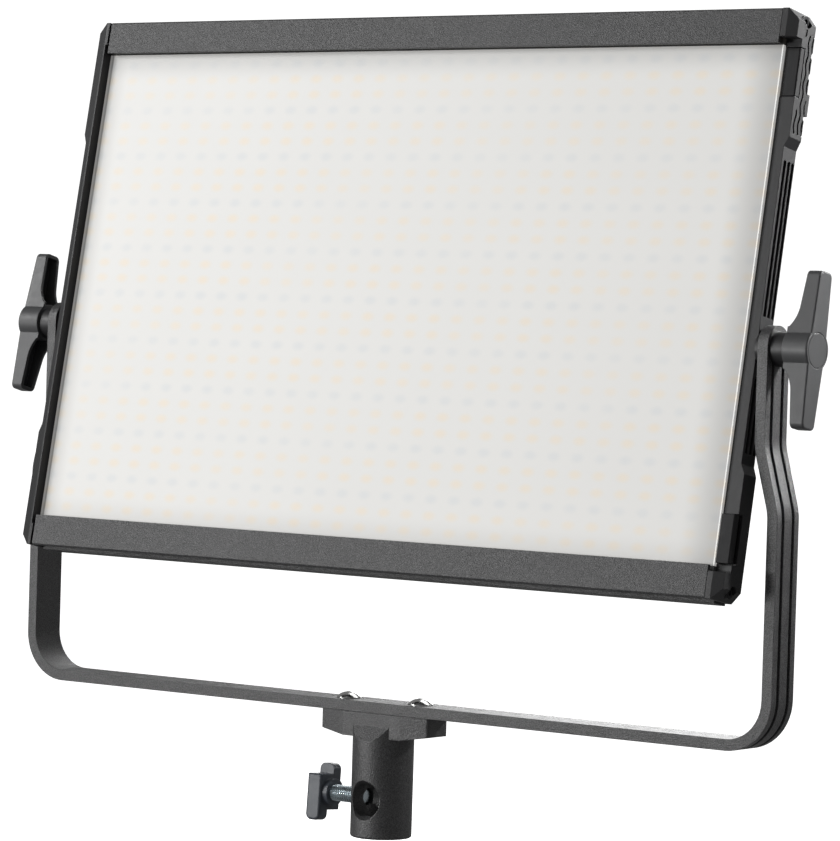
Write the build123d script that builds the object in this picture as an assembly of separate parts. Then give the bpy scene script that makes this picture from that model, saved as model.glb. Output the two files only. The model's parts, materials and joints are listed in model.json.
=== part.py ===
from build123d import *
import os
from math import atan2, cos, pi, radians, sin, tan

# LED panel light on a U-shaped yoke with a spigot receiver.  Millimetres, +Z up, -Y is the lit front.
# Origin: centre of the receiver's mouth, where a light stand's spigot enters.

# ---- driving dimensions -------------------------------------------------------------------------
RECEIVER_HEIGHT = 59.6      # receiver's mouth to the underside of the yoke bar
PIVOT_ABOVE_BAR = 180.0     # underside of the yoke bar to the tilt axis
PIVOT_Z = RECEIVER_HEIGHT + PIVOT_ABOVE_BAR
HEAD_TILT = 10.7            # rest tilt of the head, top leaning back, degrees

# lamp head, in its own upright frame: X across, Y back from the tilt axis, Z up the panel
HEAD_TOP = 153.9
HEAD_BOTTOM = -114.7
HEAD_FRONT = -11.4
HEAD_BACK = 6.6
RAIL_HALF = 200.0
TOP_RAIL_HEIGHT = 15.9
BOTTOM_RAIL_HEIGHT = 15.2
LIP = 1.6                   # front lip of the rails
DIFFUSER_FRONT = -6.6
DIFFUSER_THICK = 2.0
SLOT_DEPTH = 3.6            # how far the accessory slot runs behind the lip, short of the rail's outer wall
PLATE_THICK = 2.0           # back plate
BOARD_THICK = 1.6
COVER_OUTER = 208.4         # half-width over the side covers' thick ends
COVER_RECESS = 2.2          # how far the middle of each side cover is set in
COVER_CORNER = 5.0
BEVEL_X = 5.4
BEVEL_Y = 1.6
STRIP_FRONT = -5.2          # front of the right cover's set-back strip
STRIP_OVERRUN = 2.8         # how far the strip runs on past the rails' inner edges
RECESS_TOP = 91.5
RECESS_BOTTOM = -53.0
RECESS_RAMP = 4.5
SIDE_GROOVE_ROWS = (-2.5, 0.9, 4.2)
WAVE_HEIGHT = 0.5           # of the wavy grooves in the covers' upper ends
WAVE_LENGTH = 9.5
COVER_SCREW_INSET = 4.2     # from the covers' top and bottom ends
COVER_SCREW_Y = -1.4
LATCH_SIZE = (7.2, 3.4, 22.0)
LATCH_STEM = (3.6, 3.5, 15.0)
LATCH_TRAVEL = 2.7
LATCH_X = 204.6
LATCH_GAP = 0.4

# yoke
BAR_THICK = 5.3
BAR_DEPTH = 18.2
ARM_X_LOWER = 219.55        # centreline of the arms below the joggle
ARM_X_UPPER = 211.65        # centreline of the arms beside the head
JOGGLE_TOP = 43.8           # below the tilt axis
JOGGLE_BOTTOM = 72.7
JOGGLE_RADIUS = 26.0
CORNER_RADIUS = 21.0
ARM_END_RISE = 1.5          # centre of the arm's round end above the tilt axis
GROOVE_OFFSET = 4.2
GROOVE_WIDTH = 2.4
GROOVE_DEPTH = 1.3

# spigot receiver
TUBE_R = 14.75
SPIGOT_R = 8.2
SPIGOT_DEPTH = 42.0
SIDE_BORE_Z = 18.4
SIDE_BORE_R = 8.2
FLANGE_HALF = 32.0
FLANGE_FLAT_HALF = 17.0
FLANGE_HALF_DEPTH = 10.1
FLANGE_END_HALF_DEPTH = 7.7
FLANGE_THICK = 11.6
FLANGE_END_THICK = 9.0
SCREW_SPACING = 43.0

# knobs and their studs
STUD_R = 4.0                # receiver's clamping screw, M8
TILT_STUD_R = 3.0           # tilt knobs' studs, M6
TILT_BOSS_R = 4.6
RUNNING_GAP = 0.05
KNOB_CAP_X = 234.6
KNOB_HUB_LENGTH = 13.0
KNOB_HUB_R = 9.4
KNOB_WING = 35.5
KNOB_LEAN_RIGHT = 9.5
KNOB_LEAN_LEFT = 14.0
SOCKET_KNOB_LEAN = 4.0

# control box on the back
BOX_HALF_X = 66.0
BOX_BOTTOM = -40.0
BOX_TOP = 56.0
BOX_BACK = 34.0
BOX_WALL = 2.2

os.makedirs("parts", exist_ok=True)


# ---- small helpers ------------------------------------------------------------------------------
def block(x0, x1, y0, y1, z0, z1):
    """Box between two corners."""
    return Pos((x0 + x1) / 2, (y0 + y1) / 2, (z0 + z1) / 2) * Box(x1 - x0, y1 - y0, z1 - z0)


def rod_x(radius, x0, x1, y=0.0, z=0.0):
    """Cylinder along X."""
    return Pos((x0 + x1) / 2, y, z) * Rot(0, 90, 0) * Cylinder(radius, x1 - x0)


def rod_y(radius, y0, y1, x=0.0, z=0.0):
    """Cylinder along Y."""
    return Pos(x, (y0 + y1) / 2, z) * Rot(90, 0, 0) * Cylinder(radius, y1 - y0)


def rod_z(radius, z0, z1, x=0.0, y=0.0):
    """Cylinder along Z."""
    return Pos(x, y, (z0 + z1) / 2) * Cylinder(radius, z1 - z0)


def profile_x(points, x0, x1):
    """Closed (y, z) outline pushed along X."""
    face = Plane.YZ * make_face(Polyline(*points, close=True))
    return Pos(x0, 0, 0) * extrude(face, x1 - x0)


def profile_y(points, y0, y1):
    """Closed (x, z) outline pushed along Y."""
    face = Plane.XZ * make_face(Polyline(*points, close=True))
    return Pos(0, y1, 0) * extrude(face, y1 - y0)


def profile_z(points, z0, z1):
    """Closed (x, y) outline pushed along Z."""
    return Pos(0, 0, z0) * extrude(make_face(Polyline(*points, close=True)), z1 - z0)


def mirror_x(shape):
    return mirror(shape, about=Plane.YZ)


def on_head(shape):
    """From the head's own upright frame to its tilted place on the yoke."""
    return Pos(0, 0, PIVOT_Z) * Rot(-HEAD_TILT, 0, 0) * shape


def on_pivot(shape, lean):
    """From a knob's own frame to its place on the tilt axis, turned by lean degrees."""
    return Pos(0, 0, PIVOT_Z) * Rot(-lean, 0, 0) * shape


def as_group(shapes):
    return Compound(children=list(shapes))


def save(name, shape):
    export_step(shape, f"parts/{name}.step")


# ---- yoke ---------------------------------------------------------------------------------------
def yoke_line(outward):
    """One edge line of the U, a given distance outside the bar's centreline."""
    top = PIVOT_Z + ARM_END_RISE
    bottom = RECEIVER_HEIGHT + BAR_THICK / 2 - outward
    angle = atan2(ARM_X_LOWER - ARM_X_UPPER, JOGGLE_BOTTOM - JOGGLE_TOP)
    shift = outward * tan(angle / 2)
    upper = ARM_X_UPPER + outward
    lower = ARM_X_LOWER + outward
    right = [
        (upper, top),
        (upper, PIVOT_Z - JOGGLE_TOP + shift),
        (lower, PIVOT_Z - JOGGLE_BOTTOM + shift),
        (lower, bottom),
    ]
    left = [(-x, z) for x, z in reversed(right)]
    bend = [JOGGLE_RADIUS - outward, JOGGLE_RADIUS + outward, CORNER_RADIUS + outward]
    return FilletPolyline(*(right + left), radius=bend + bend[::-1])


def yoke_band(inner, outer):
    """Flat U between two edge lines, drawn on the XZ plane."""
    line_in = yoke_line(inner)
    line_out = yoke_line(outer)
    start = Line(line_in @ 0, line_out @ 0)
    end = Line(line_in @ 1, line_out @ 1)
    return Plane.XZ * make_face([line_in.edges(), line_out.edges(), start, end])


def yoke_bar():
    half = BAR_THICK / 2
    bar = Pos(0, BAR_DEPTH / 2, 0) * extrude(yoke_band(-half, half), BAR_DEPTH)
    end_z = PIVOT_Z + ARM_END_RISE
    for side in (-1, 1):
        x0, x1 = sorted((side * (ARM_X_UPPER - half), side * (ARM_X_UPPER + half)))
        bar += rod_x(BAR_DEPTH / 2, x0, x1, 0, end_z)
    groove = yoke_band(half - GROOVE_DEPTH, half + 2.0)
    for y in (-GROOVE_OFFSET, GROOVE_OFFSET):
        bar -= Pos(0, y + GROOVE_WIDTH / 2, 0) * extrude(groove, GROOVE_WIDTH)
    bar -= rod_x(TILT_STUD_R + 0.4, -300, 300, 0, PIVOT_Z)
    for x in (-SCREW_SPACING / 2, SCREW_SPACING / 2):
        bar -= rod_z(3.2, RECEIVER_HEIGHT - 5, RECEIVER_HEIGHT + 20, x, 0)
    return bar


def flange():
    """Bolting flange: a flat middle with its ends drawn in, and an underside that rises outwards."""
    plan = [
        (-FLANGE_HALF, -FLANGE_END_HALF_DEPTH),
        (-FLANGE_FLAT_HALF, -FLANGE_HALF_DEPTH),
        (FLANGE_FLAT_HALF, -FLANGE_HALF_DEPTH),
        (FLANGE_HALF, -FLANGE_END_HALF_DEPTH),
        (FLANGE_HALF, FLANGE_END_HALF_DEPTH),
        (FLANGE_FLAT_HALF, FLANGE_HALF_DEPTH),
        (-FLANGE_FLAT_HALF, FLANGE_HALF_DEPTH),
        (-FLANGE_HALF, FLANGE_END_HALF_DEPTH),
    ]
    body = profile_z(plan, RECEIVER_HEIGHT - FLANGE_THICK, RECEIVER_HEIGHT)
    body = fillet(body.edges().filter_by(Axis.Z).sort_by(Axis.X)[0:2], 1.5)
    body = fillet(body.edges().filter_by(Axis.Z).sort_by(Axis.X)[-2:], 1.5)
    low = RECEIVER_HEIGHT - FLANGE_THICK
    for side in (-1, 1):
        wedge = [
            (side * FLANGE_FLAT_HALF, low),
            (side * (FLANGE_HALF + 1), low + FLANGE_THICK - FLANGE_END_THICK),
            (side * (FLANGE_HALF + 1), low - 1),
            (side * FLANGE_FLAT_HALF, low - 1),
        ]
        body -= profile_y(wedge, -20, 20)
    return body


def spigot_receiver():
    tube = rod_z(TUBE_R, 0, RECEIVER_HEIGHT)
    slope_top = RECEIVER_HEIGHT - 6.0
    slope_low = slope_top - 7.0
    for side in (-1, 1):
        shave = [
            (side * FLANGE_HALF_DEPTH, slope_top),
            (side * (TUBE_R + 0.6), slope_low - 0.9),
            (side * (TUBE_R + 5), slope_low - 0.9),
            (side * (TUBE_R + 5), RECEIVER_HEIGHT + 1),
            (side * FLANGE_HALF_DEPTH, RECEIVER_HEIGHT + 1),
        ]
        tube -= profile_x(shave, -30, 30)
    body = tube + flange()
    body -= rod_z(SPIGOT_R, -1, SPIGOT_DEPTH)
    body -= rod_y(SIDE_BORE_R, -30, 30, 0, SIDE_BORE_Z)
    body -= rod_x(STUD_R + RUNNING_GAP, -30, 0, 0, SIDE_BORE_Z)
    outer = body.edges().filter_by(GeomType.CIRCLE).group_by(Axis.Z)[0].sort_by(SortBy.RADIUS)[-1]
    body = fillet(outer, 1.2)
    for side in (-1, 1):
        flare = Pos(0, side * (TUBE_R - 1.2), SIDE_BORE_Z) * Rot(-side * 90, 0, 0)
        body -= flare * Cone(SIDE_BORE_R, SIDE_BORE_R + 1.3, 2.4)
    for x in (-SCREW_SPACING / 2, SCREW_SPACING / 2):
        body -= rod_z(2.5, RECEIVER_HEIGHT - 8.5, RECEIVER_HEIGHT + 1, x, 0)
    return body


def button_head_screw(x):
    """M5 button-head screw, its head on top of the yoke bar."""
    seat = RECEIVER_HEIGHT + BAR_THICK
    tip = RECEIVER_HEIGHT - 8
    dome = ThreePointArc((0, seat + 3.0), (4.0, seat + 2.1), (6.0, seat + 0.5))
    rim = Polyline((6.0, seat + 0.5), (6.0, seat), (2.5, seat), (2.5, tip), (0, tip), (0, seat + 3.0))
    screw = revolve(Plane.XZ * make_face([dome.edges(), rim.edges()]), Axis.Z)
    socket = Pos(0, 0, seat + 1.0) * extrude(RegularPolygon(1.7, 6), 4)
    return Pos(x, 0, 0) * (screw - socket)


def arm_washers(inner, outer, radius):
    """A matching pair of washers on the tilt axis."""
    ring = rod_x(radius, inner, outer) - rod_x(TILT_STUD_R + 0.4, inner - 1, outer + 1)
    ring = Pos(0, 0, PIVOT_Z) * ring
    return as_group([ring, mirror_x(ring)])


# ---- lamp head ----------------------------------------------------------------------------------
def rail_section(height):
    """Top rail's (y, z) section as blocks to keep and to cut, with its outer edge at z = 0."""
    lip_back = HEAD_FRONT + LIP
    groove_back = DIFFUSER_FRONT + DIFFUSER_THICK + 0.2
    keep = block(-RAIL_HALF, RAIL_HALF, HEAD_FRONT, HEAD_BACK, -height, 0)
    step = block(-RAIL_HALF, RAIL_HALF, -2.5, HEAD_BACK, -1, 1.0)
    rail = keep + step
    open_end = -height - 1
    rail -= block(-300, 300, lip_back, DIFFUSER_FRONT + 0.01, open_end, -SLOT_DEPTH)
    rail -= block(-300, 300, DIFFUSER_FRONT, groove_back, open_end, -height + 4.4)
    rail -= block(-300, 300, groove_back + 1.4, HEAD_BACK - PLATE_THICK - 1.2, -height + 1.6, -2.0)
    rail -= block(-300, 300, HEAD_BACK - PLATE_THICK, HEAD_BACK + 1, open_end, -3.4)
    rail -= block(-300, 300, HEAD_FRONT + 2.0, -2.5, -0.7, 2)
    front_edge = rail.edges().filter_by(Axis.X).group_by(Axis.Y)[0].sort_by(Axis.Z)[-1]
    return chamfer(front_edge, 0.7)


def tapped(rail, screws):
    """Rail with its holes for the back plate's screws."""
    for x, z in screws:
        rail -= rod_y(1.5, HEAD_BACK - 4.0, HEAD_BACK + 1, x, z)
    return rail


def top_rail():
    rail = Pos(0, 0, HEAD_TOP) * rail_section(TOP_RAIL_HEIGHT)
    return tapped(rail, back_screw_places()[4:])


def bottom_rail():
    rail = Pos(0, 0, HEAD_BOTTOM) * mirror(rail_section(BOTTOM_RAIL_HEIGHT), about=Plane.XY)
    return tapped(rail, back_screw_places()[:4])


def cover_outline(inner_x):
    """Right side cover seen from the front: cut corners and a recessed middle."""
    outer = COVER_OUTER
    recess = COVER_OUTER - COVER_RECESS
    return [
        (inner_x, HEAD_BOTTOM),
        (outer - COVER_CORNER, HEAD_BOTTOM),
        (outer, HEAD_BOTTOM + COVER_CORNER),
        (outer, RECESS_BOTTOM - RECESS_RAMP),
        (recess, RECESS_BOTTOM),
        (recess, RECESS_TOP),
        (outer, RECESS_TOP + RECESS_RAMP),
        (outer, HEAD_TOP - COVER_CORNER),
        (outer - COVER_CORNER, HEAD_TOP),
        (inner_x, HEAD_TOP),
    ]


def cover_bevels():
    """Wedges that slope the front and back outer edges of the right side cover."""
    cutters = []
    for face, back in ((HEAD_FRONT, 1), (HEAD_BACK, -1)):
        wedge = [
            (COVER_OUTER - BEVEL_X, face),
            (COVER_OUTER + 1, face + back * BEVEL_Y * (BEVEL_X + 1) / BEVEL_X),
            (COVER_OUTER + 1, face - back * 2),
            (COVER_OUTER - BEVEL_X, face - back * 2),
        ]
        cutters.append(profile_z(wedge, HEAD_BOTTOM - 5, HEAD_TOP + 5))
    return cutters


def bracket_pocket():
    """Room behind a side cover for the pivot bracket and its boss."""
    pocket = block(RAIL_HALF, RAIL_HALF + 4.4, -4.2, HEAD_BACK + 1, -62, 62)
    return pocket + rod_x(TILT_BOSS_R + 0.1, RAIL_HALF, COVER_OUTER + 2)


def cover_screw_places():
    return [(COVER_SCREW_Y, HEAD_TOP - COVER_SCREW_INSET), (COVER_SCREW_Y, HEAD_BOTTOM + COVER_SCREW_INSET)]


def wavy_groove(y, z0, z1, depth):
    """Shallow wavy cut down the outer face of the right side cover."""
    half = 0.55
    steps = int((z1 - z0) / 0.9)
    heights = [z0 + (z1 - z0) * index / steps for index in range(steps + 1)]
    centre = [(y + WAVE_HEIGHT * sin(2 * pi * z / WAVE_LENGTH), z) for z in heights]
    outline = [(cy - half, z) for cy, z in centre] + [(cy + half, z) for cy, z in reversed(centre)]
    return profile_x(outline, COVER_OUTER - depth, COVER_OUTER + 2)


def side_cover(right):
    """Side cover; both are built on the right, and the left one is mirrored afterwards."""
    inner = RAIL_HALF + 0.2
    cover = profile_y(cover_outline(inner), HEAD_FRONT, HEAD_BACK)
    for wedge in cover_bevels():
        cover -= wedge
    low = HEAD_BOTTOM + BOTTOM_RAIL_HEIGHT
    high = HEAD_TOP - TOP_RAIL_HEIGHT
    if right:
        cover -= block(inner - 1, 220, HEAD_FRONT - 1, STRIP_FRONT, low - STRIP_OVERRUN, high + STRIP_OVERRUN)
        for z0 in (low + 1.0, high - 1.0 - LATCH_SIZE[2] - 0.6):
            cover -= latch_pocket(z0)
    else:
        cover -= block(inner - 1, inner + 2.0, HEAD_FRONT - 1, -4.4, low - 4.4, high + 4.4)
        cover -= block(inner - 1, inner + 1.0, HEAD_FRONT - 1, HEAD_FRONT + 1.2, low - 50, high + 50)
    cover -= bracket_pocket()
    for y, z in cover_screw_places():
        cover -= rod_x(1.6, inner - 1, 220, y, z)
        cover -= rod_x(3.0, COVER_OUTER - 3.4, 220, y, z)
    recess = COVER_OUTER - COVER_RECESS
    for row, y in enumerate(SIDE_GROOVE_ROWS):
        if row == 0 and right:
            cover -= wavy_groove(y, 98, 109, 1.0)
            cover -= wavy_groove(y, 142.5, 146, 1.0)
        else:
            cover -= wavy_groove(y, 98, 144, 1.0)
        cover -= block(recess - 1.8, 220, y - 1.05, y + 1.05, 14, 85.5)
        cover -= block(recess - 1.8, 220, y - 1.05, y + 1.05, -48, -14)
    cover += block(COVER_OUTER - 3.2, COVER_OUTER - 0.3, HEAD_BACK - 4.0, HEAD_BACK + 1.0, 108, 118)
    return cover


def latch_pocket(z0):
    """Room for a latch: a notch open at the cover's outer side, and a well for its stem."""
    size_x, size_y, size_z = LATCH_SIZE
    stem_x, stem_y, stem_z = LATCH_STEM
    floor_y = STRIP_FRONT + size_y + 0.3
    middle = z0 + LATCH_GAP + size_z / 2
    half = stem_z / 2 + LATCH_GAP
    notch = block(RAIL_HALF, 220, HEAD_FRONT - 2, floor_y, z0, z0 + size_z + 2 * LATCH_GAP)
    well = block(LATCH_X - stem_x / 2 - LATCH_GAP, LATCH_X + stem_x / 2 + LATCH_GAP, HEAD_FRONT - 2,
                 floor_y + stem_y, middle - half, middle + half)
    return notch + well


def accessory_latch(z0, front):
    """Sliding catch for a grid or a second diffuser: a face with a stem behind it."""
    size_x, size_y, size_z = LATCH_SIZE
    stem_x, stem_y, stem_z = LATCH_STEM
    z0 += LATCH_GAP
    middle = z0 + size_z / 2
    catch = block(LATCH_X - size_x / 2, LATCH_X + size_x / 2, front, front + size_y, z0, z0 + size_z)
    edges = catch.edges().filter_by(Axis.Z).group_by(Axis.Y)[0]
    catch = chamfer(edges, 0.5)
    catch += block(LATCH_X - stem_x / 2, LATCH_X + stem_x / 2, front + size_y - 0.5, front + size_y + stem_y,
                   middle - stem_z / 2, middle + stem_z / 2)
    return catch


def pivot_bracket():
    """Right side bracket that carries the threaded tilt boss."""
    plate = block(RAIL_HALF + 0.3, RAIL_HALF + 4.2, -4.0, HEAD_BACK - PLATE_THICK, -60, 60)
    foot = block(RAIL_HALF - 16, RAIL_HALF + 4.2, HEAD_BACK, HEAD_BACK + 2.0, -60, 60)
    link = block(RAIL_HALF + 0.3, RAIL_HALF + 4.2, 0, HEAD_BACK + 2.0, -60, 60)
    boss = rod_x(TILT_BOSS_R, RAIL_HALF + 2.4, COVER_OUTER - COVER_RECESS)
    bracket = plate + foot + link + boss
    bracket -= rod_x(TILT_STUD_R + RUNNING_GAP, RAIL_HALF, COVER_OUTER + 2)
    for z in (-48, 48):
        bracket -= rod_y(1.7, 0, 20, RAIL_HALF - 9, z)
    return bracket


def diffuser():
    z0 = HEAD_BOTTOM + BOTTOM_RAIL_HEIGHT - 4.0
    z1 = HEAD_TOP - TOP_RAIL_HEIGHT + 4.0
    plate = block(-RAIL_HALF - 1.6, RAIL_HALF, DIFFUSER_FRONT, DIFFUSER_FRONT + DIFFUSER_THICK, z0, z1)
    return plate


def reflector_frame():
    z0 = HEAD_BOTTOM + BOTTOM_RAIL_HEIGHT + 0.3
    z1 = HEAD_TOP - TOP_RAIL_HEIGHT - 0.3
    y0 = DIFFUSER_FRONT + DIFFUSER_THICK
    y1 = HEAD_BACK - PLATE_THICK - BOARD_THICK
    half = RAIL_HALF - 0.4
    wall = 1.6
    frame = block(-half, half, y0, y1, z0, z1)
    return frame - block(-half + wall, half - wall, y0 - 1, y1 + 1, z0 + wall, z1 - wall)


def led_board():
    y1 = HEAD_BACK - PLATE_THICK
    z0 = HEAD_BOTTOM + BOTTOM_RAIL_HEIGHT + 0.6
    z1 = HEAD_TOP - TOP_RAIL_HEIGHT - 0.6
    return block(-RAIL_HALF + 0.8, RAIL_HALF - 0.8, y1 - BOARD_THICK, y1, z0, z1)


def back_plate():
    z0 = HEAD_BOTTOM + 3.6
    z1 = HEAD_TOP - 3.6
    plate = block(-RAIL_HALF, RAIL_HALF, HEAD_BACK - PLATE_THICK, HEAD_BACK, z0, z1)
    for x, z in back_screw_places():
        plate -= rod_y(1.7, 0, 20, x, z)
    for x, z in box_screw_places():
        plate -= rod_y(1.5, 0, 20, x, z)
    plate -= block(-12, 12, 0, 20, -14, 14)
    return plate


def back_screw_places():
    rows = (HEAD_BOTTOM + 8.0, HEAD_TOP - 8.0)
    return [(x, z) for z in rows for x in (-180, -60, 60, 180)]


def pan_head_screw_back(x, seat, z, length):
    """M3 pan-head screw whose head faces the back."""
    head = rod_y(2.9, seat, seat + 1.8, x, z)
    head = fillet(head.edges().group_by(Axis.Y)[-1], 0.7)
    cross = block(x - 1.6, x + 1.6, seat + 0.9, seat + 3, z - 0.35, z + 0.35)
    cross += block(x - 0.35, x + 0.35, seat + 0.9, seat + 3, z - 1.6, z + 1.6)
    return head + rod_y(1.5, seat - length, seat + 0.2, x, z) - cross


def cover_screw(y, z):
    """M3 screw sunk in a side cover."""
    head = rod_x(2.8, COVER_OUTER - 3.4, COVER_OUTER - 1.6, y, z)
    recess = rod_x(1.2, COVER_OUTER - 2.6, COVER_OUTER, y, z)
    return head + rod_x(1.5, RAIL_HALF + 0.3, COVER_OUTER - 3.2, y, z) - recess


def heat_sink(side):
    """Finned plate on the back, beside the control box."""
    x0, x1 = (78, 178) if side > 0 else (-178, -78)
    base = block(x0, x1, HEAD_BACK, HEAD_BACK + 2.0, -72, 92)
    fins = 13
    for index in range(fins):
        x = x0 + 2 + index * (x1 - x0 - 4) / (fins - 1)
        base += block(x - 0.8, x + 0.8, HEAD_BACK + 1, HEAD_BACK + 11, -72, 92)
    return base


# ---- control box --------------------------------------------------------------------------------
DIAL_X = 44.0
DIAL_Z = -8.0
DIAL_R = 9.5
BUTTON_X = (-12.0, 12.0)
BUTTON_Z = -14.0
WINDOW_HALF_X = 30.0
WINDOW_Z = (4.0, 40.0)
SOCKET_X = 30.0
SWITCH_X = -30.0
ROCKER_PIN_RISE = 3.5       # rocker's pin above the box's underside


def box_screw_places():
    return [(side * (BOX_HALF_X - 7), z) for side in (-1, 1) for z in (BOX_BOTTOM + 8, BOX_TOP - 8)]


def control_box():
    outline = block(-BOX_HALF_X, BOX_HALF_X, HEAD_BACK, BOX_BACK, BOX_BOTTOM, BOX_TOP)
    outline = fillet(outline.edges().filter_by(Axis.Y), 9)
    shell = chamfer(outline.faces().sort_by(Axis.Y)[-1].edges(), 3.0)
    wall = BOX_WALL
    room = block(-BOX_HALF_X + wall, BOX_HALF_X - wall, HEAD_BACK - 1, BOX_BACK - wall,
                 BOX_BOTTOM + wall, BOX_TOP - wall)
    room = fillet(room.edges().filter_by(Axis.Y), 7)
    shell -= chamfer(room.faces().sort_by(Axis.Y)[-1].edges(), 2.5)
    shell -= block(-WINDOW_HALF_X, WINDOW_HALF_X, BOX_BACK - 1.2, BOX_BACK + 1, *WINDOW_Z)
    shell -= block(-WINDOW_HALF_X + 3, WINDOW_HALF_X - 3, 20, BOX_BACK + 1, WINDOW_Z[0] + 3, WINDOW_Z[1] - 3)
    for side in (-1, 1):
        shell -= rod_y(3.3, 20, 40, side * DIAL_X, DIAL_Z)
    for x in BUTTON_X:
        shell -= block(x - 6.3, x + 6.3, 20, 40, BUTTON_Z - 3.3, BUTTON_Z + 3.3)
    shell -= rod_z(5.6, BOX_BOTTOM - 2, BOX_BOTTOM + 6, SOCKET_X, 20)
    shell -= block(SWITCH_X - 9.6, SWITCH_X + 9.6, 20 - 6.4, 20 + 6.4, BOX_BOTTOM - 2, BOX_BOTTOM + 6)
    for index in range(12):
        x = -44 + index * 8
        shell -= block(x - 1.2, x + 1.2, 14, 28, BOX_TOP - 4, BOX_TOP + 2)
    for x, z in box_screw_places():
        shell += rod_y(3.6, HEAD_BACK, BOX_BACK - 1, x, z)
        shell -= rod_y(1.7, 0, 50, x, z)
        shell -= rod_y(3.2, BOX_BACK - 2.2, BOX_BACK + 2, x, z)
    return shell


def control_box_screws():
    seat = BOX_BACK - 2.2
    return [pan_head_screw_back(x, seat, z, seat - HEAD_BACK + 1.0) for x, z in box_screw_places()]


def display_window():
    return block(-WINDOW_HALF_X + 0.1, WINDOW_HALF_X - 0.1, BOX_BACK - 1.2, BOX_BACK - 0.1,
                 WINDOW_Z[0] + 0.1, WINDOW_Z[1] - 0.1)


def display_module():
    return block(-WINDOW_HALF_X + 3.4, WINDOW_HALF_X - 3.4, BOX_BACK - 6.2, BOX_BACK - 1.4,
                 WINDOW_Z[0] + 3.4, WINDOW_Z[1] - 3.4)


def front_board():
    """Board behind the controls, with its components, carried on the box's posts."""
    y0 = BOX_BACK - 13.0
    board = block(-50, 50, y0, y0 + 1.6, -24, 50)
    for x in BUTTON_X:
        board += block(x - 3, x + 3, y0 + 1.6, y0 + 5.4, BUTTON_Z - 3, BUTTON_Z + 3)
    return board


def driver_board():
    y0 = HEAD_BACK + 4.0
    board = block(-48, 48, y0, y0 + 1.6, -30, 46)
    for x, z, width, height, tall in ((-30, 26, 22, 18, 7), (2, 28, 16, 16, 6), (30, 24, 14, 22, 7),
                                      (-28, -6, 16, 12, 5)):
        board += block(x - width / 2, x + width / 2, y0 + 1.6, y0 + 1.6 + tall, z - height / 2, z + height / 2)
    for x, z in ((-44, -26), (44, -26), (-44, 42), (44, 42)):
        board += rod_y(2.5, HEAD_BACK, y0, x, z)
    return board


def dial_shaft(side):
    """Fixed encoder body behind a dial, with its threaded nose through the box."""
    x = side * DIAL_X
    body = block(x - 5.5, x + 5.5, BOX_BACK - 11.4, BOX_BACK - BOX_WALL, DIAL_Z - 6, DIAL_Z + 6)
    body += rod_y(3.2, BOX_BACK - BOX_WALL, BOX_BACK + 1.5, x, DIAL_Z)
    return body


def dial(side):
    """Knurled control dial."""
    x = side * DIAL_X
    y0 = BOX_BACK + 0.5
    knob = rod_y(DIAL_R, y0, y0 + 11.5, x, DIAL_Z)
    knob = chamfer(knob.edges().group_by(Axis.Y)[-1], 0.8)
    knob -= rod_y(4.0, y0 - 1, y0 + 2.2, x, DIAL_Z)
    for index in range(24):
        angle = radians(index * 15)
        knob -= rod_y(0.55, y0 + 1.5, y0 + 15, x + (DIAL_R + 0.2) * cos(angle), DIAL_Z + (DIAL_R + 0.2) * sin(angle))
    return knob


def push_button(x):
    key = block(x - 6, x + 6, BOX_BACK - 3.0, BOX_BACK + 1.6, BUTTON_Z - 3, BUTTON_Z + 3)
    key = fillet(key.edges().filter_by(Axis.Y), 1.4)
    key += block(x - 7, x + 7, BOX_BACK - 3.6, BOX_BACK - BOX_WALL - 0.3, BUTTON_Z - 3.9, BUTTON_Z + 3.9)
    return key


def power_inlet():
    """Round low-voltage inlet in the underside of the control box."""
    z = BOX_BOTTOM
    body = rod_z(7.4, z - 1.4, z, SOCKET_X, 20) + rod_z(5.4, z - 0.5, z + 13, SOCKET_X, 20)
    body -= rod_z(3.2, z - 2, z + 10, SOCKET_X, 20)
    return body + rod_z(1.0, z + 2, z + 11, SOCKET_X, 20)


def switch_frame():
    """Rocker switch's body and bezel in the underside of the control box."""
    z = BOX_BOTTOM
    body = block(SWITCH_X - 9.3, SWITCH_X + 9.3, 20 - 6.1, 20 + 6.1, z - 0.5, z + 13)
    body += block(SWITCH_X - 10.5, SWITCH_X + 10.5, 20 - 7.3, 20 + 7.3, z - 1.3, z)
    body -= block(SWITCH_X - 7.5, SWITCH_X + 7.5, 20 - 4.4, 20 + 4.4, z - 2, z + 10)
    return body - rod_y(1.25, 20 - 5.6, 20 + 5.6, SWITCH_X, z + ROCKER_PIN_RISE)


def power_rocker():
    """Rocker that tips about Y, modelled level."""
    z = BOX_BOTTOM
    points = [
        (SWITCH_X - 6.7, z - 0.9), (SWITCH_X - 3.2, z - 1.0), (SWITCH_X, z - 0.4), (SWITCH_X + 3.2, z - 1.0),
        (SWITCH_X + 6.7, z - 0.9), (SWITCH_X + 6.4, z + 2.2), (SWITCH_X + 2.4, z + 6.4),
        (SWITCH_X - 2.4, z + 6.4), (SWITCH_X - 6.4, z + 2.2),
    ]
    rocker = profile_y(points, 20 - 4.0, 20 + 4.0)
    return rocker + rod_y(1.1, 20 - 5.2, 20 + 5.2, SWITCH_X, z + ROCKER_PIN_RISE)


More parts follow.
